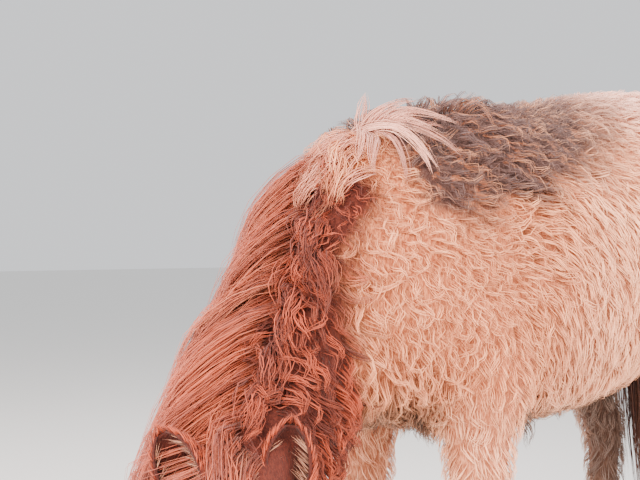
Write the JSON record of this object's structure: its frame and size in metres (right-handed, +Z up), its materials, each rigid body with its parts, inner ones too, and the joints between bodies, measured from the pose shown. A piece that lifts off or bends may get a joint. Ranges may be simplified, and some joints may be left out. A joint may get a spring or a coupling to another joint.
{
  "type": "shetland pony",
  "caption": "Still life-size pony with a curly winter coat, standing with its head down to graze and turned to its left.",
  "frame": {"origin": "middle of the bounding box in X and Y, on the floor under the hooves", "axes": "the pony's body lies along X with its head towards -X, its left side is -Y, Z is up"},
  "size_m": [1.5364, 0.4826, 1.0278],
  "materials": {
    "coat_cream": "soft curly hair, matt, cream with a grey-brown patch on the back",
    "coat_chestnut": "soft curly hair, matt, warm chestnut",
    "tail_hair": "long hair, slight sheen, dark chestnut brown",
    "hoof": "dull grey-brown horn with fine growth rings",
    "eye": "wet and glossy, very dark brown"
  },
  "bodies": {
    "root": {"torso": "coat_cream", "head": "coat_chestnut", "neck": "coat_chestnut", "tail": "tail_hair", "foreleg_left": "coat_cream", "hindleg_left": "coat_cream", "foreleg_right": "coat_cream", "hindleg_right": "coat_cream", "ear_left": "coat_chestnut", "eye_left": "eye", "ear_right": "coat_chestnut", "eye_right": "eye", "hoof_fore_left": "hoof", "hoof_hind_left": "hoof", "hoof_fore_right": "hoof", "hoof_hind_right": "hoof"}
  },
  "joints": []
}
